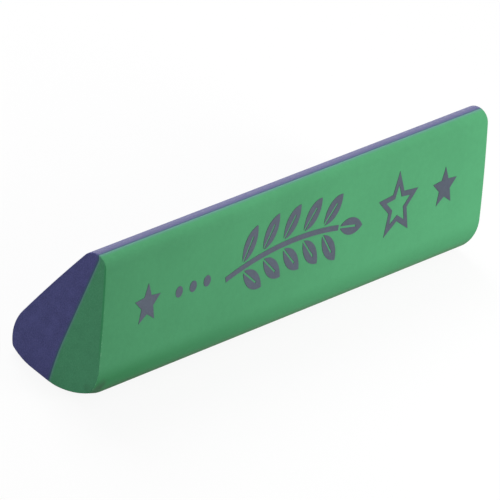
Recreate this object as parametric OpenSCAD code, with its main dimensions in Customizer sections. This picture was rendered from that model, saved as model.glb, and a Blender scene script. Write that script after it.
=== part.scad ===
// Triangular eraser of two rubber halves, with a printed row of motifs on its front face.
// The length lies along X, the base rests on Z = 0 and the origin is under the middle of the base.
// The green half and its print face -Y, and the blue half faces +Y.

/* [Body] */
// Length between the two cut ends
length = 90; // [80:1:120]
// Width across the two bulging sides
width = 14.7; // [13:0.1:20]
// Height from the base to the top edge
height = 20.7; // [18:0.1:26]
// Radius of the rounded top edge
top_r = 2.1; // [1.4:0.1:3]
// How far each long face swells out at its middle
crown = 0.1; // [0.06:0.02:0.3]

/* [Base edges] */
// Radius of the broad round that rises from the flat of the base
sole_r = 9; // [6:0.5:11]
// Slope at which it reaches the corner
sole_a = 24; // [15:1:30]
// Radius of the tight round at the corner
corner_r = 1; // [0.6:0.1:2]
// Slope at which the corner passes into the bulging side
side_a = 58; // [50:1:65]
// Radius of the bulging side
side_r = 5.9; // [4:0.1:7]

/* [Bond between the halves] */
// Distance of the bond from the middle, towards the green half
bond_shift = 0.34; // [0:0.02:0.8]
// Depth under the top edge over which it turns back to the middle
turn_h = 0.8; // [0.4:0.1:4]
// Further drift of the bond where it meets the base
bond_drift = 0.54; // [0:0.02:1]
// Height above the base at which the drift starts
drift_h = 7; // [2:0.5:10]

/* [Print] */
// Thickness of the ink film
ink_t = 0.05; // [0.04:0.01:0.2]
// Bare rubber between the row of motifs and each cut end
end_margin = 7; // [4:0.5:9]
// Space between neighbouring motifs along the row
motif_gap = 3.4; // [2:0.2:5]
// Diameter of the large star, tip to tip
star_d = 10; // [6:0.5:12]
// Diameter of the two small stars, tip to tip
small_star_d = 6; // [4:0.5:8]
// Space between the large star's outer and inner tips
star_line = 2; // [1:0.1:2.5]
// Diameter of a dot
dot_d = 1.6; // [0.8:0.1:2.4]
// Distance between neighbouring dots
dot_pitch = 3.2; // [2.6:0.2:4]
// Number of dots in the row
dot_count = 3; // [1:1:4]

/* [Sprig] */
// Width of the stem
stem_w = 0.8; // [0.5:0.1:1.4]
// Height of the stem's bow
stem_bow = 2; // [0.5:0.1:3]
// Distance from the stem's tip back to the nearest pair of leaves
tip_bare = 3.7; // [2.5:0.1:5]
// Distance between neighbouring pairs of leaves along the stem
leaf_pitch = 4.7; // [4:0.1:8]
// Length of a leaf
leaf_l = 5.6; // [3.5:0.1:6.2]
// Width of a leaf
leaf_w = 2.5; // [1.5:0.1:2.8]
// Angle between a side leaf and the stem
leaf_angle = 46; // [38:1:65]
// Bare space between a leaf and the stem
leaf_gap = 0.3; // [0.2:0.05:0.8]
// Width of the bare vein along each leaf
vein_w = 0.3; // [0.2:0.05:0.5]
// Solid ink between the end of the vein and the tip of its leaf
vein_tip = 1.7; // [1:0.1:2.5]

/* [Hidden] */

green = "#4d9a6c";
blue = "#46467a";
ink = "#5f6274";

// Steps along the round stretches
top_steps = 20;
face_steps = 7;
side_steps = 14;
corner_steps = 8;
sole_steps = 8;
turn_steps = 8;
drift_steps = 10;
stem_steps = 16;
$fn = 64;

// Centres of the rounded edges on the blue side, as [y, z]
top_c = [0, height - top_r];
corner_c = [
    width / 2 - side_r + (side_r - corner_r) * sin(side_a),
    sole_r - (sole_r - corner_r) * cos(sole_a)
];
sole_c = [corner_c[0] - (sole_r - corner_r) * sin(sole_a), sole_r];
side_c = [width / 2 - side_r, corner_c[1] + (side_r - corner_r) * cos(side_a)];

// The long face is one shallow arc that runs into the top edge and the bulging side
edge_span = norm(side_c - top_c);
edge_dir = (side_c - top_c) / edge_span;
face_chord = sqrt(pow(edge_span, 2) - pow(side_r - top_r, 2));
face_r = pow(face_chord, 2) / (8 * crown);
face_along = (pow(face_r - top_r, 2) - pow(face_r - side_r, 2) + pow(edge_span, 2)) / (2 * edge_span);
face_in = sqrt(pow(face_r - top_r, 2) - pow(face_along, 2));
face_c = top_c + face_along * edge_dir + face_in * [edge_dir[1], -edge_dir[0]];

// Where the outward direction points at the two ends of the long face and at its middle
face_top_a = direction(top_c - face_c);
face_low_a = direction(side_c - face_c);
face_mid_a = (face_top_a + face_low_a) / 2;
face_mid = face_c + face_r * [cos(face_mid_a), sin(face_mid_a)];

// A motif is pressed this far through the crowned face, on either side of its middle
stamp_depth = 2 * (crown + ink_t);

// A five-pointed star, and its inner radius as a share of its outer radius
tip_count = 5;
waist_ratio = 0.46;

// The motifs fill one row between the end margins, and the sprig takes the space that is left
dots_l = (dot_count - 1) * dot_pitch + dot_d;
others_l = 2 * small_star_d + dots_l + star_d;
sprig_l = length - 2 * end_margin - others_l - 4 * motif_gap;
row = [
    ["first star", small_star_d],
    ["dots", dots_l],
    ["sprig", sprig_l],
    ["large star", star_d],
    ["last star", small_star_d]
];

// The sprig is a bowed stem with pairs of leaves and one leaf in line with its tip
stem_l = sprig_l - leaf_gap - leaf_l;
leaf_pairs = 1 + max(0, floor((stem_l - tip_bare) / leaf_pitch));
bow_r = (pow(sprig_l / 2, 2) + pow(stem_bow, 2)) / (2 * stem_bow);
bow_c = [motif_x("sprig"), stem_bow / 2 - bow_r];

function direction(v) = atan2(v[1], v[0]);

// Where the row has got to before a motif, and where that motif's middle lies
function row_x(i) = i == 0 ? end_margin - length / 2 : row_x(i - 1) + row[i - 1][1] + motif_gap;
function motif_x(name) = let (i = search([name], row)[0]) row_x(i) + row[i][1] / 2;

function mirrored(points) = [for (p = points) [-p[0], p[1]]];
function reversed(points) = [for (i = [len(points) - 1 : -1 : 0]) points[i]];
function but_last(points) = [for (i = [0 : len(points) - 2]) points[i]];

// Points of an arc from one direction to another
function arc(c, r, from, to, steps) =
    [for (i = [0 : steps]) let (a = from + (to - from) * i / steps) c + r * [cos(a), sin(a)]];

// Strip between two arcs around one centre
function strip(c, inner_r, outer_r, from, to, steps) =
    concat(arc(c, outer_r, from, to, steps), reversed(arc(c, inner_r, from, to, steps)));

// Outside of one half of the section, from the base up to the middle of the top edge
function outside() = concat(
    but_last(arc(sole_c, sole_r, -90, sole_a - 90, sole_steps)),
    but_last(arc(corner_c, corner_r, sole_a - 90, side_a - 90, corner_steps)),
    but_last(arc(side_c, side_r, side_a - 90, face_low_a, side_steps)),
    but_last(arc(face_c, face_r, face_low_a, face_top_a, face_steps)),
    but_last(arc(top_c, top_r, face_top_a, 90, top_steps)));

// The bond from the middle of the top edge down to the base, straight between its turn and its drift
function turned(z) = bond_shift * pow(max(0, 1 - (height - z) / turn_h), 2);
function drifted(z) = bond_drift * pow(max(0, 1 - z / drift_h), 2);
function heights(from, to, steps) = [for (i = [0 : steps]) from + (to - from) * i / steps];
function bond() =
    [for (z = concat(heights(height, height - turn_h, turn_steps), heights(drift_h, 0, drift_steps)))
        [turned(z) - bond_shift - drifted(z), z]];

// Band of ink along the long face
function ink_band() = strip(face_c, face_r, face_r + ink_t, face_low_a, face_top_a, face_steps);

// Direction of the stem's curve, at a distance from its foot
function stem_a(x) = 90 + (sprig_l / 2 - x) / bow_r * 180 / PI;

// Carries a section drawn in [y, z] along the whole length
module along_length() {
    rotate([90, 0, 90])
        linear_extrude(length, center = true)
            children();
}

// Prints a flat motif, drawn around the middle of the front face, onto that face
module printed() {
    color(ink)
        intersection() {
            along_length()
                polygon(mirrored(ink_band()));
            translate([0, -face_mid[0], face_mid[1]])
                rotate([90 - face_mid_a, 0, 0])
                    linear_extrude(2 * stamp_depth, center = true)
                        children();
        }
}

module star(d) {
    polygon([for (i = [0 : 2 * tip_count - 1])
        let (a = 90 + 180 * i / tip_count, r = i % 2 == 0 ? d / 2 : waist_ratio * d / 2)
        r * [cos(a), sin(a)]]);
}

// A pointed leaf from the origin along +X, with a bare vein from its foot
module leaf() {
    edge_r = (leaf_l * leaf_l + leaf_w * leaf_w) / (4 * leaf_w);
    difference() {
        intersection_for (side = [-1, 1])
            translate([leaf_l / 2, side * (edge_r - leaf_w / 2)])
                circle(edge_r);
        translate([0, -vein_w / 2])
            square([leaf_l - vein_tip, vein_w]);
    }
}

// Puts a shape at a distance along the stem's curve, turned to run with it
module on_stem(x) {
    translate(bow_c)
        rotate([0, 0, stem_a(x) - 90])
            translate([0, bow_r])
                children();
}

module green_half() {
    color(green)
        along_length()
            polygon(concat(mirrored(outside()), bond()));
}

module blue_half() {
    color(blue)
        along_length()
            polygon(concat(outside(), bond()));
}

module print_stem() {
    half_w = stem_w / 2;
    printed()
        polygon(strip(bow_c, bow_r - half_w, bow_r + half_w, stem_a(0), stem_a(stem_l), stem_steps));
}

module print_leaves() {
    printed() {
        for (i = [0 : leaf_pairs - 1], side = [-1, 1])
            on_stem(stem_l - tip_bare - i * leaf_pitch)
                translate([0, side * (stem_w / 2 + leaf_gap)])
                    rotate([0, 0, side * leaf_angle])
                        leaf();
        on_stem(stem_l + leaf_gap)
            leaf();
    }
}

module print_stars() {
    printed() {
        for (name = ["first star", "last star"])
            translate([motif_x(name), 0])
                star(small_star_d);
        translate([motif_x("large star"), 0])
            difference() {
                star(star_d);
                star(star_d - 2 * star_line);
            }
    }
}

module print_dots() {
    printed()
        for (i = [0 : dot_count - 1])
            translate([motif_x("dots") + (i - (dot_count - 1) / 2) * dot_pitch, 0])
                circle(d = dot_d);
}

green_half();
blue_half();
print_stem();
print_leaves();
print_stars();
print_dots();
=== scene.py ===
import math

import bmesh
import bpy
from mathutils import Matrix, Vector


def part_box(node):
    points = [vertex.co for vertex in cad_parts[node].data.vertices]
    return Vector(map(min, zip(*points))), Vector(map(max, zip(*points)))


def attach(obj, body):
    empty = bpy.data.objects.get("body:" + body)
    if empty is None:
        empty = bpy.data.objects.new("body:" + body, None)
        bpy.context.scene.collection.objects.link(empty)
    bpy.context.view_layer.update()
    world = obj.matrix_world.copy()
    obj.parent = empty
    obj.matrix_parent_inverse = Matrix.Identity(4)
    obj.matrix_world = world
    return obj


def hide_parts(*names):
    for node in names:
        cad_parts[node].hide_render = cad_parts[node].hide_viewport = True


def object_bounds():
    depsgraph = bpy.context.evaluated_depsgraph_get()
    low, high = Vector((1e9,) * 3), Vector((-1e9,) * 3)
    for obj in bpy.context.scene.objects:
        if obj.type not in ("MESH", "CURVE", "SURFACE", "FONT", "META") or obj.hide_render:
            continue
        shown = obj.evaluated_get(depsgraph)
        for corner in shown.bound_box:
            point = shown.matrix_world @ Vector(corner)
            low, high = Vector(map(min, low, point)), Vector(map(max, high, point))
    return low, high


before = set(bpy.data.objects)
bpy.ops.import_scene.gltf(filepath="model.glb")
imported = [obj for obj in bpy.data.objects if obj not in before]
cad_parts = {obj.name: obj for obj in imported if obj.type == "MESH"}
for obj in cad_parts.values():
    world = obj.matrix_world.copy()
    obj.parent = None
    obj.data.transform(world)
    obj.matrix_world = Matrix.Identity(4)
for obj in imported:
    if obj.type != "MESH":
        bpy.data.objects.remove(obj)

cadLow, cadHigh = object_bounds()
cadSize = cadHigh - cadLow
middle = (cadLow + cadHigh) / 2
mm = 0.001
white = (1, 1, 1, 1)
scene = bpy.context.scene
scene.view_settings.view_transform = "Standard"


# one socket, with the arithmetic that the finishes use
class Wire:
    def __init__(self, finish, socket):
        self.finish = finish
        self.socket = socket

    def maths(self, operation, first, second):
        return self.finish.add("ShaderNodeMath", {"operation": operation}, {0: first, 1: second})

    def __add__(self, other):
        return self.maths("ADD", self, other)

    def __sub__(self, other):
        return self.maths("SUBTRACT", self, other)

    def __mul__(self, other):
        return self.maths("MULTIPLY", self, other)

    def __truediv__(self, other):
        return self.maths("DIVIDE", self, other)

    def __radd__(self, other):
        return self.maths("ADD", other, self)

    def __rsub__(self, other):
        return self.maths("SUBTRACT", other, self)

    def __rmul__(self, other):
        return self.maths("MULTIPLY", other, self)

    def __rtruediv__(self, other):
        return self.maths("DIVIDE", other, self)


# a node tree, filled through one method
class Finish:
    def __init__(self, tree):
        self.tree = tree
        tree.nodes.clear()

    def add(self, kind, settings=None, sockets=None, out=0):
        node = self.tree.nodes.new(kind)
        for name, value in (settings or {}).items():
            setattr(node, name, value)
        for name, value in (sockets or {}).items():
            if isinstance(value, Wire):
                self.tree.links.new(value.socket, node.inputs[name])
            else:
                node.inputs[name].default_value = value
        return Wire(self, node.outputs[out]) if node.outputs else None

    # 0 where value is at low, 1 where it is at high, eased in between
    def ease(self, value, low, high):
        settings = {"interpolation_type": "SMOOTHSTEP"}
        return self.add("ShaderNodeMapRange", settings, {0: value, 1: low, 2: high})

    def atLeast(self, value, least):
        return self.add("ShaderNodeMath", {"operation": "MAXIMUM"}, {0: value, 1: least})

    def mix(self, share, first, second):
        return self.add("ShaderNodeMix", {"data_type": "RGBA"}, {0: share, 6: first, 7: second}, 2)

    def distance(self, place, spot):
        return self.add("ShaderNodeVectorMath", {"operation": "DISTANCE"}, {0: place, 1: spot}, 1)

    def clouds(self, place, cloud):
        return self.add("ShaderNodeTexNoise", None, {
            "Vector": place,
            "Scale": 1 / cloud["size"],
            "Detail": cloud["detail"],
            "Roughness": cloud["roughness"],
        })


# clouds lie around this mean, and a finish takes these as its darkest and its lightest
cloudMean = 0.5
cloudRange = (0.3, 0.7)


def newFinish(name):
    material = bpy.data.materials.new(name)
    material.use_nodes = True
    return material, Finish(material.node_tree)


def srgb(red, green, blue):
    def toLinear(value):
        value /= 255
        return value / 12.92 if value <= 0.04045 else ((value + 0.055) / 1.055) ** 2.4
    return toLinear(red), toLinear(green), toLinear(blue), 1


# camera: a long lens that looks at the cut end and the printed face, rolled on its side
shot = {
    "aim": Vector((-0.128, 1.746, 7.355)) * mm,
    "distance": 1279.6 * mm,
    "azimuth": -64.357,
    "elevation": 29.936,
    "roll": 24.659,
    "lens": 674.55,
    "sensor": 36,
}


def placeCamera():
    side, lift = math.radians(shot["azimuth"]), math.radians(shot["elevation"])
    back = Vector((math.sin(side) * math.cos(lift), -math.cos(side) * math.cos(lift), math.sin(lift)))
    camera = bpy.data.objects.new("camera", bpy.data.cameras.new("camera"))
    camera.data.lens = shot["lens"]
    camera.data.sensor_width = shot["sensor"]
    level = (-back).to_track_quat("-Z", "Y").to_matrix().to_4x4()
    roll = Matrix.Rotation(math.radians(shot["roll"]), 4, "Z")
    camera.matrix_world = Matrix.Translation(shot["aim"] + back * shot["distance"]) @ level @ roll
    scene.collection.objects.link(camera)
    scene.camera = camera


placeCamera()
print("camera placed")


# soft studio light: lamps in front, above, behind and by the near end, and a pale room all round
room = {
    "fill": 0.36,
    "floorColour": (0.3, 0.3, 0.3, 1),
    "floorSize": 4.0,
    "shadeColour": (0.9, 0.9, 0.9, 1),
    "shadeShare": 0.1,  # how much of the shadow shows on the white floor
    "shadeReach": (0.1, 0.3),  # distances from the middle between which it fades out
}
lamps = {
    "frontLamp": {"place": Vector((0.08, -0.13, 0.07)), "size": 0.10, "power": 0.187},
    "topLamp": {"place": Vector((0.05, 0.26, 0.31)), "size": 0.24, "power": 1.03},
    "backLamp": {"place": Vector((0.50, 0.38, 0.06)), "size": 0.30, "power": 1.0},
    "endLamp": {"place": Vector((-0.40, -0.02, 0.14)), "size": 0.24, "power": 0.32},
}


def hangLamp(name, lamp):
    light = bpy.data.lights.new(name, "AREA")
    light.shape = "DISK"
    light.size = lamp["size"]
    light.energy = lamp["power"]
    hung = bpy.data.objects.new(name, light)
    aim = (middle - lamp["place"]).to_track_quat("-Z", "Y").to_matrix().to_4x4()
    hung.matrix_world = Matrix.Translation(lamp["place"]) @ aim
    hung.visible_camera = False
    scene.collection.objects.link(hung)


# 1 for a ray that shows the white background, straight or by way of gloss or glass, else 0
def showsBackground(finish):
    camera, gloss, glass = [
        finish.add("ShaderNodeLightPath", None, None, kind)
        for kind in ("Is Camera Ray", "Is Glossy Ray", "Is Transmission Ray")]
    return finish.atLeast(finish.atLeast(camera, gloss), glass)


def makeRoom():
    world = bpy.data.worlds.new("room")
    world.use_nodes = True
    scene.world = world
    finish = Finish(world.node_tree)
    strength = room["fill"] + (1 - room["fill"]) * showsBackground(finish)
    sky = finish.add("ShaderNodeBackground", None, {"Color": white, "Strength": strength})
    finish.add("ShaderNodeOutputWorld", None, {"Surface": sky})


# the floor shows white with a faint shadow from above, lights the object as a grey one and can be
# looked through from below
def makeFloor():
    bm = bmesh.new()
    bmesh.ops.create_grid(bm, x_segments=1, y_segments=1, size=room["floorSize"])
    mesh = bpy.data.meshes.new("floor")
    bm.to_mesh(mesh)
    bm.free()
    material, finish = newFinish("paleFloor")
    place = finish.add("ShaderNodeTexCoord", None, None, "Object")
    away = finish.distance(place, (0, 0, 0))
    share = room["shadeShare"] * (1 - finish.ease(away, *room["shadeReach"]))
    plain = finish.add("ShaderNodeEmission", None, {"Color": white, "Strength": 1.0})
    shade = finish.add("ShaderNodeBsdfDiffuse", None, {"Color": room["shadeColour"]})
    seen = finish.add("ShaderNodeMixShader", None, {0: share, 1: plain, 2: shade})
    matte = finish.add("ShaderNodeBsdfDiffuse", None, {"Color": room["floorColour"]})
    top = finish.add("ShaderNodeMixShader", None, {0: showsBackground(finish), 1: matte, 2: seen})
    under = finish.add("ShaderNodeNewGeometry", None, None, "Backfacing")
    clear = finish.add("ShaderNodeBsdfTransparent")
    sheet = finish.add("ShaderNodeMixShader", None, {0: under, 1: top, 2: clear})
    finish.add("ShaderNodeOutputMaterial", None, {"Surface": sheet})
    mesh.materials.append(material)
    floor = bpy.data.objects.new("floor", mesh)
    scene.collection.objects.link(floor)


for lampName, lamp in lamps.items():
    hangLamp(lampName, lamp)
makeRoom()
makeFloor()
print("lamps, room and floor made")


# the section, as in the CAD model: from the flat base a broad round, a tight corner, a bulging
# side and a shallow face arc lead up to the top edge
section = {
    "soleRadius": 9 * mm,
    "soleSlope": math.radians(24),
    "soleSteps": 8,
    "cornerRadius": 1 * mm,
    "cornerSteps": 8,
    "sideSlope": math.radians(58),
    "sideRadius": 5.9 * mm,
    "sideSteps": 16,
    "swell": 0.1 * mm,
    "faceSteps": 10,
    "topRadius": 2.1 * mm,
    "topSteps": 14,
    "flatSteps": 6,
}
soleRadius, soleSlope = section["soleRadius"], section["soleSlope"]
sideRadius, sideSlope = section["sideRadius"], section["sideSlope"]
cornerRadius, topRadius = section["cornerRadius"], section["topRadius"]
topCentre = Vector((0, cadHigh.z - topRadius))
cornerCentre = Vector((
    cadSize.y / 2 - sideRadius + (sideRadius - cornerRadius) * math.sin(sideSlope),
    soleRadius - (soleRadius - cornerRadius) * math.cos(soleSlope)))
soleCentre = Vector((cornerCentre.x - (soleRadius - cornerRadius) * math.sin(soleSlope), soleRadius))
sideCentre = Vector((
    cadSize.y / 2 - sideRadius, cornerCentre.y + (sideRadius - cornerRadius) * math.cos(sideSlope)))


# the arc that swells out between the bulging side and the top edge, and meets both smoothly
def faceArc():
    span = (sideCentre - topCentre).length
    along = (sideCentre - topCentre) / span
    radius = (span ** 2 - (sideRadius - topRadius) ** 2) / (8 * section["swell"])
    reach = ((radius - topRadius) ** 2 - (radius - sideRadius) ** 2 + span ** 2) / (2 * span)
    inward = math.sqrt((radius - topRadius) ** 2 - reach ** 2)
    return topCentre + reach * along + inward * Vector((along.y, -along.x)), radius


faceCentre, faceRadius = faceArc()

# the bond: it turns in under the top edge, runs straight down and drifts out to the base
bond = {
    "shift": 0.34 * mm,
    "turnHeight": 0.8 * mm,
    "turnSteps": 3,
    "driftHeight": 7 * mm,
    "driftSteps": 8,
    "bondLineShare": 0.9,
}
bondTop = -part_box("green_half")[1].y
bondTurn = bond["shift"] - bondTop
bondDrift = -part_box("blue_half")[0].y - bond["shift"]
bondCrest = topCentre.y + math.sqrt(topRadius ** 2 - bondTop ** 2)

# rubber: a smooth moulded skin on the long faces, and a duller cut at the two ends
greenRubber = {
    "skin": srgb(86, 162, 114),
    "skinBondLineWidth": 0.5 * mm,
    "cut": srgb(84, 157, 116),
    "cutTones": (0.88, 1.1),
    "cutBondLineWidth": 0.4 * mm,
    "fleck": srgb(104, 172, 132),
    "rim": srgb(66, 156, 100),
    # painted highlight along the bond on the green side
    "paintedBondLine": srgb(104, 151, 144),
    "bondSide": 1,
    "gloss": 0.01,
}
blueRubber = {
    "skin": srgb(86, 87, 133),
    "skinBondLineWidth": 0.4 * mm,
    "cut": srgb(88, 90, 142),
    "cutTones": (0.77, 1.22),
    "cutBondLineWidth": 0.45 * mm,
    "fleck": srgb(108, 108, 156),
    "rim": srgb(80, 82, 132),
    # the two colours blended along the bond, with painted shade of a groove
    "paintedBondLine": srgb(73, 102, 120),
    "bondSide": -1,
    "gloss": 0.14,
}
skinFinish = {
    "clouds": {
        "patches": {"size": 14 * mm, "detail": 2.0, "roughness": 0.5, "share": 0.5},
        "mottle": {"size": 0.9 * mm, "detail": 3.0, "roughness": 0.6, "share": 0.3},
        "grain": {"size": 0.22 * mm, "detail": 2.0, "roughness": 0.6, "share": 0.2},
    },
    "tones": (0.94, 1.06),
    "grainDepth": 0.006 * mm,
    "roughness": 0.55,
    "roughSpread": 0.12,
}
cutFinish = {
    "clouds": {
        "mottle": {"size": 1.4 * mm, "detail": 3.0, "roughness": 0.6, "share": 0.3},
        "grain": {"size": 0.2 * mm, "detail": 3.0, "roughness": 0.65, "share": 0.7},
    },
    "grainDepth": 0.012 * mm,
    "roughness": 0.85,
    "roughSpread": 0.1,
    "gloss": 0.03,
    "flecks": {"size": 0.16 * mm, "detail": 1.0, "roughness": 0.5},
    "fleckRange": (0.6, 0.75),
    "fleckShare": 0.5,
    "rimDepths": (0.12 * mm, 0.4 * mm),
    "rimHeights": (6 * mm, 11 * mm),
    "rimShare": 0.7,
}

# marks on the green rubber and painted shade: painted shade where it curves under, most at the near end;
# painted shade with a painted reflection of the floor along the base edge; a nicked edge at the near cut;
# and painted shade on its rubbed corner
marksAndShade = {
    # painted shade where the side curves under, most at the near end
    "undersideShadeHeights": (4 * mm, 6.8 * mm),
    "undersideShadeColour": srgb(66, 142, 91),
    "undersideShadeNear": 0.8,
    "undersideShadeFar": 0.2,
    # painted shade with a painted reflection of the floor along the base edge, darker at the near end
    "baseShadeHeights": (1.6 * mm, 3.4 * mm),
    "baseShadeNear": srgb(83, 126, 91),
    "baseShadeFar": srgb(95, 144, 104),
    "baseShadeShare": 0.8,
    "nicks": {"size": 0.6 * mm, "detail": 3.0, "roughness": 0.7},
    "nickRange": (0.52, 0.62),
    "nickDepths": (0.18 * mm, 0.36 * mm),
    "nickFoot": (2.6 * mm, 3.64 * mm),
    "nickTop": (9 * mm, 18 * mm),
    "nickColour": srgb(128, 190, 150),
    "nickShare": 0.9,
    # painted shade on the rubbed corner, which faces down
    "cornerShade": Vector((-43.5, -7.2, 2.9)) * mm,
    "cornerShadeReach": (0.6 * mm, 2.1 * mm),
    "cornerShadeClouds": {"size": 1.26 * mm, "detail": 2.0, "roughness": 0.6},
    "cornerShadeWander": 1.26 * mm,
    "cornerShadeColour": srgb(72, 116, 86),
    "cornerShadeShare": 0.9,
}


def shaded(colour, factor):
    return tuple(min(1, part * factor) for part in colour[:3]) + (1,)


# the place on the object, and its three parts
def objectPlace(finish):
    place = finish.add("ShaderNodeTexCoord", None, None, "Object")
    split = finish.add("ShaderNodeSeparateXYZ", None, {0: place}).socket.node
    return place, [Wire(finish, output) for output in split.outputs]


# the clouds of a finish by name, and their sum by share
def mixClouds(finish, place, settings):
    made = {}
    tone = 0
    for name, cloud in settings["clouds"].items():
        made[name] = finish.clouds(place, cloud)
        tone = tone + cloud["share"] * made[name]
    return made, tone


# a colour that goes from its dark to its light tone with the clouds
def toned(finish, tone, colour, factors):
    dark, light = [shaded(colour, factor) for factor in factors]
    return finish.mix(finish.ease(tone, *cloudRange), dark, light)


# ends a finish: a matte body with fine grain, rougher where the uneven clouds are thick
def closeMatte(finish, settings, colour, gloss, grain, uneven):
    height = finish.add("ShaderNodeBump", None, {
        "Strength": 1.0, "Distance": settings["grainDepth"], "Height": grain})
    body = finish.add("ShaderNodeBsdfPrincipled", None, {
        "Base Color": colour,
        "Roughness": settings["roughness"] + settings["roughSpread"] * (uneven - cloudMean),
        "Specular IOR Level": gloss,
        "Normal": height,
    })
    finish.add("ShaderNodeOutputMaterial", None, {"Surface": body})


# distance from the bond across the bar, more than 0 on the green side
def fromBond(finish, across, up):
    turn = finish.atLeast(1 - (bondCrest - up) / bond["turnHeight"], 0)
    drift = finish.atLeast(1 - up / bond["driftHeight"], 0)
    return bondTurn * turn * turn - bond["shift"] - bondDrift * drift * drift - across


# a line along the bond, fading away from it: on the blue side the two colours blend, with painted shade
# of a groove; on the green side it is a painted highlight
def withBondLine(finish, colour, rubber, across, up, width):
    depth = rubber["bondSide"] * fromBond(finish, across, up)
    share = bond["bondLineShare"] * (1 - finish.ease(depth, 0, width))
    return finish.mix(share, colour, rubber["paintedBondLine"])


# painted shade and a painted floor reflection low on the green skin, and the nicks of its near cut edge
def markedAndShaded(finish, colour, place, along, up):
    far = finish.ease(along, cadLow.x, middle.x)
    # painted shade where the side curves under, stronger towards the near end
    undersideShade = 1 - finish.ease(up, *marksAndShade["undersideShadeHeights"])
    undersideShadeShare = marksAndShade["undersideShadeNear"] + (marksAndShade["undersideShadeFar"] - marksAndShade["undersideShadeNear"]) * far
    colour = finish.mix(undersideShade * undersideShadeShare, colour, marksAndShade["undersideShadeColour"])
    # painted shade with a painted reflection of the floor along the base edge, darker at the near end
    baseShade = 1 - finish.ease(up, *marksAndShade["baseShadeHeights"])
    baseShadeColour = finish.mix(far, marksAndShade["baseShadeNear"], marksAndShade["baseShadeFar"])
    colour = finish.mix(marksAndShade["baseShadeShare"] * baseShade, colour, baseShadeColour)
    nicks = finish.ease(finish.clouds(place, marksAndShade["nicks"]), *marksAndShade["nickRange"])
    edge = 1 - finish.ease(along - cadLow.x, *marksAndShade["nickDepths"])
    height = finish.ease(up, *marksAndShade["nickFoot"]) * (1 - finish.ease(up, *marksAndShade["nickTop"]))
    return finish.mix(marksAndShade["nickShare"] * nicks * edge * height, colour, marksAndShade["nickColour"])


# painted shade on the rubbed corner, which faces down, fading out with an uneven edge
def cornerShaded(finish, colour, place):
    cloud = finish.clouds(place, marksAndShade["cornerShadeClouds"]) - cloudMean
    away = finish.distance(place, marksAndShade["cornerShade"]) + marksAndShade["cornerShadeWander"] * cloud
    share = marksAndShade["cornerShadeShare"] * (1 - finish.ease(away, *marksAndShade["cornerShadeReach"]))
    return finish.mix(share, colour, marksAndShade["cornerShadeColour"])


def makeSkin(name, rubber):
    material, finish = newFinish(name)
    place, (along, across, up) = objectPlace(finish)
    clouds, tone = mixClouds(finish, place, skinFinish)
    colour = toned(finish, tone, rubber["skin"], skinFinish["tones"])
    colour = withBondLine(finish, colour, rubber, across, up, rubber["skinBondLineWidth"])
    if rubber is greenRubber:
        colour = markedAndShaded(finish, colour, place, along, up)
        colour = cornerShaded(finish, colour, place)
    closeMatte(finish, skinFinish, colour, rubber["gloss"], clouds["grain"], clouds["mottle"])
    return material


# the cut has light flecks, and a deeper rim along the long face
def makeCut(name, rubber):
    material, finish = newFinish(name)
    place, (_, across, up) = objectPlace(finish)
    clouds, tone = mixClouds(finish, place, cutFinish)
    colour = toned(finish, tone, rubber["cut"], rubber["cutTones"])
    flecks = finish.ease(finish.clouds(place, cutFinish["flecks"]), *cutFinish["fleckRange"])
    colour = finish.mix(cutFinish["fleckShare"] * flecks, colour, rubber["fleck"])
    flat = finish.add("ShaderNodeCombineXYZ", None, {1: across, 2: up})
    reach = finish.distance(flat, (0, -rubber["bondSide"] * faceCentre.x, faceCentre.y))
    rim = 1 - finish.ease(faceRadius - reach, *cutFinish["rimDepths"])
    rim = rim * finish.ease(up, *cutFinish["rimHeights"])
    colour = finish.mix(cutFinish["rimShare"] * rim, colour, rubber["rim"])
    colour = withBondLine(finish, colour, rubber, across, up, rubber["cutBondLineWidth"])
    if rubber is greenRubber:
        # painted shade on the rubbed corner, over the cut as well
        colour = cornerShaded(finish, colour, place)
    closeMatte(finish, cutFinish, colour, cutFinish["gloss"], clouds["grain"], clouds["grain"])
    return material


# ink: a thin matte film, darker towards the far end as painted shade that evens out the stronger light
# there
inkFinish = {
    "clouds": {
        "mottle": {"size": 1.2 * mm, "detail": 3.0, "roughness": 0.6, "share": 0.55},
        "grain": {"size": 0.25 * mm, "detail": 2.0, "roughness": 0.6, "share": 0.45},
    },
    "nearColour": srgb(91, 99, 114),
    "farColour": srgb(75, 82, 95),
    "tones": (0.9, 1.1),
    "grainDepth": 0.004 * mm,
    "roughness": 0.6,
    "roughSpread": 0.1,
    "gloss": 0.15,
}


def makeInk():
    material, finish = newFinish("slateInk")
    place, (along, _, _) = objectPlace(finish)
    clouds, tone = mixClouds(finish, place, inkFinish)
    near, far = [
        toned(finish, tone, inkFinish[end], inkFinish["tones"]) for end in ("nearColour", "farColour")]
    # painted shade: darker towards the far end, where the light is stronger
    colour = finish.mix(finish.ease(along, cadLow.x, cadHigh.x), near, far)
    closeMatte(finish, inkFinish, colour, inkFinish["gloss"], clouds["grain"], clouds["mottle"])
    return material


# the cut ends: rounded edges, and rings that the wear can bend
cutEnds = {
    "edge": 0.15 * mm,
    "edgeSteps": 4,
    "closeRings": [0.5 * mm, 0.9 * mm, 1.4 * mm, 1.9 * mm, 2.5 * mm, 3.2 * mm, 4.0 * mm, 5.0 * mm],
    "ringPitch": 4 * mm,
    "ringSnap": 0.0001 * mm,
    "tolerance": 0.001 * mm,
    "facing": 0.5,  # least part of a normal that counts as facing that way
}

# the rubbed corner under the green face at the near end: a broad round, deepest at the cut
rubbed = {
    "centre": Vector((0.3, 11.35)) * mm,
    "radius": 11.435 * mm,
    "depth": 0.8 * mm,
    "length": 3.46 * mm,
    "soft": 0.05 * mm,
}


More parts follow.
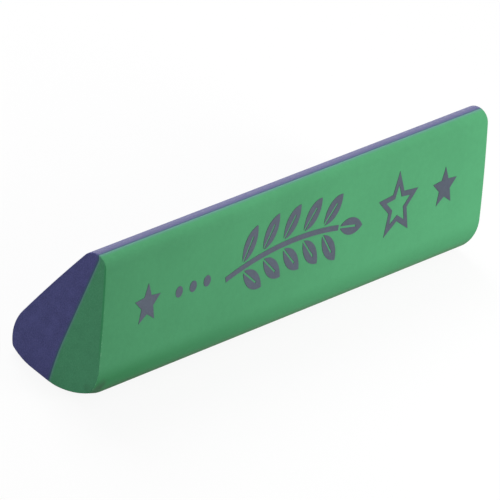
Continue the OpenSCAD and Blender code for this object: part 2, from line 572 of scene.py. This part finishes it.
# carries an outline on along an arc and gives its new end
def spinOn(bm, vert, centre, angle, steps):
    made = bmesh.ops.spin(
        bm, geom=[vert], cent=(cadLow.x, *centre), axis=(1, 0, 0), dvec=(0, 0, 0),
        angle=angle, steps=steps, use_merge=False, use_duplicate=False)
    return [part for part in made["geom_last"] if isinstance(part, bmesh.types.BMVert)][0]


# the outline is drawn on the +Y side; lean is 1 where the bond lies beyond the middle, else -1
def drawSection(bm, lean):
    faceTop = math.atan2(*reversed(topCentre - faceCentre))
    faceLow = math.atan2(*reversed(sideCentre - faceCentre))
    crestAngle = math.pi / 2 + lean * math.asin(bondTop / topRadius)
    turnHeight, driftHeight = bond["turnHeight"], bond["driftHeight"]
    turnRadius = (turnHeight ** 2 + bondTurn ** 2) / (2 * bondTurn)
    turnCentre = Vector((lean * (turnRadius - bond["shift"]), bondCrest - turnHeight))
    driftRadius = (driftHeight ** 2 + bondDrift ** 2) / (2 * bondDrift)
    driftCentre = Vector((-lean * (driftRadius + bond["shift"]), driftHeight))

    start = bm.verts.new((cadLow.x, soleCentre.x, 0))
    toe = spinOn(bm, start, soleCentre, soleSlope, section["soleSteps"])
    heel = spinOn(bm, toe, cornerCentre, sideSlope - soleSlope, section["cornerSteps"])
    hip = spinOn(bm, heel, sideCentre, faceLow + math.pi / 2 - sideSlope, section["sideSteps"])
    shoulder = spinOn(bm, hip, faceCentre, faceTop - faceLow, section["faceSteps"])
    crest = spinOn(bm, shoulder, topCentre, crestAngle - faceTop, section["topSteps"])
    neck = spinOn(bm, crest, turnCentre, lean * math.asin(turnHeight / turnRadius), bond["turnSteps"])
    knee = bmesh.ops.extrude_vert_indiv(bm, verts=[neck])["verts"][0]
    bmesh.ops.translate(bm, verts=[knee], vec=(0, 0, driftHeight - neck.co.z))
    foot = spinOn(bm, knee, driftCentre, -lean * math.asin(driftHeight / driftRadius), bond["driftSteps"])
    flat = bmesh.ops.contextual_create(bm, geom=[foot, start])["edges"]
    bmesh.ops.subdivide_edges(bm, edges=flat, cuts=section["flatSteps"] - 1)
    return bmesh.ops.contextual_create(bm, geom=bm.edges[:])["faces"][0]


# rings round the bar, close together near the ends
def cutRings(bm):
    close = cutEnds["closeRings"]
    count = round((cadSize.x - 2 * close[-1]) / cutEnds["ringPitch"])
    pitch = (cadSize.x - 2 * close[-1]) / count
    places = [cadLow.x + step for step in close] + [cadHigh.x - step for step in close]
    places += [cadLow.x + close[-1] + pitch * i for i in range(1, count)]
    for place in places:
        bmesh.ops.bisect_plane(
            bm, geom=bm.verts[:] + bm.edges[:] + bm.faces[:], dist=cutEnds["ringSnap"],
            plane_co=(place, 0, 0), plane_no=(1, 0, 0))


def atEnd(vert):
    return min(vert.co.x - cadLow.x, cadHigh.x - vert.co.x) < cutEnds["tolerance"]


# the bond faces are the inner wall of a half
def bondFaces(bm, lean):
    return [face for face in bm.faces if face.normal.y * lean < -cutEnds["facing"]]


# presses what stands out beyond a widening round back onto it
def rubCorner(bm):
    for vert in bm.verts:
        out = Vector((0, vert.co.y - rubbed["centre"].x, vert.co.z - rubbed["centre"].y))
        limit = rubbed["radius"] + rubbed["depth"] * (vert.co.x - cadLow.x) / rubbed["length"]
        over = (out.length - limit) / rubbed["soft"]
        vert.co -= out.normalized() * rubbed["soft"] * math.log1p(math.exp(over))


# the green half, whose lean is -1, is turned over to its own side and then rubbed
def makeHalf(name, lean):
    bm = bmesh.new()
    outline = drawSection(bm, lean)
    made = bmesh.ops.extrude_face_region(bm, geom=[outline])
    farVerts = [part for part in made["geom"] if isinstance(part, bmesh.types.BMVert)]
    bmesh.ops.translate(bm, verts=farVerts, vec=(cadSize.x, 0, 0))
    if lean < 0:
        bmesh.ops.scale(bm, verts=bm.verts[:], vec=(1, -1, 1))
    bmesh.ops.recalc_face_normals(bm, faces=bm.faces[:])
    cutRings(bm)
    if lean < 0:
        rubCorner(bm)
    bm.normal_update()

    inner = set(bondFaces(bm, lean))
    rim = [edge for edge in bm.edges if all(atEnd(vert) for vert in edge.verts)
           and not any(face in inner for face in edge.link_faces)]
    bmesh.ops.bevel(
        bm, geom=rim, affect="EDGES", offset=cutEnds["edge"], offset_type="OFFSET",
        segments=cutEnds["edgeSteps"], profile=0.5, material=-1, clamp_overlap=True)
    bm.normal_update()
    for face in bm.faces:
        face.smooth = not all(atEnd(vert) for vert in face.verts)
        face.material_index = int(abs(face.normal.x) > cutEnds["facing"])
    print(name, "faces", len(bm.faces), "open edges", sum(not edge.is_manifold for edge in bm.edges))

    mesh = bpy.data.meshes.new(name)
    bm.to_mesh(mesh)
    bm.free()
    half = bpy.data.objects.new(name, mesh)
    scene.collection.objects.link(half)
    return half


greenHalf = makeHalf("greenHalf", -1)
blueHalf = makeHalf("blueHalf", 1)
for half, node, slotName, tint, rubber in (
        (greenHalf, "green_half", "green_rubber", "green", greenRubber),
        (blueHalf, "blue_half", "blue_rubber", "blue", blueRubber)):
    half.data.materials.append(makeSkin(tint + "Skin", rubber))
    half.data.materials.append(makeCut(tint + "Cut", rubber))
    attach(half, "root")
    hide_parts(node)
print("rubber halves made")

ink = makeInk()
for name in ("print_stem", "print_leaves", "print_stars", "print_dots"):
    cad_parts[name].material_slots[0].material = ink
print("print inked")
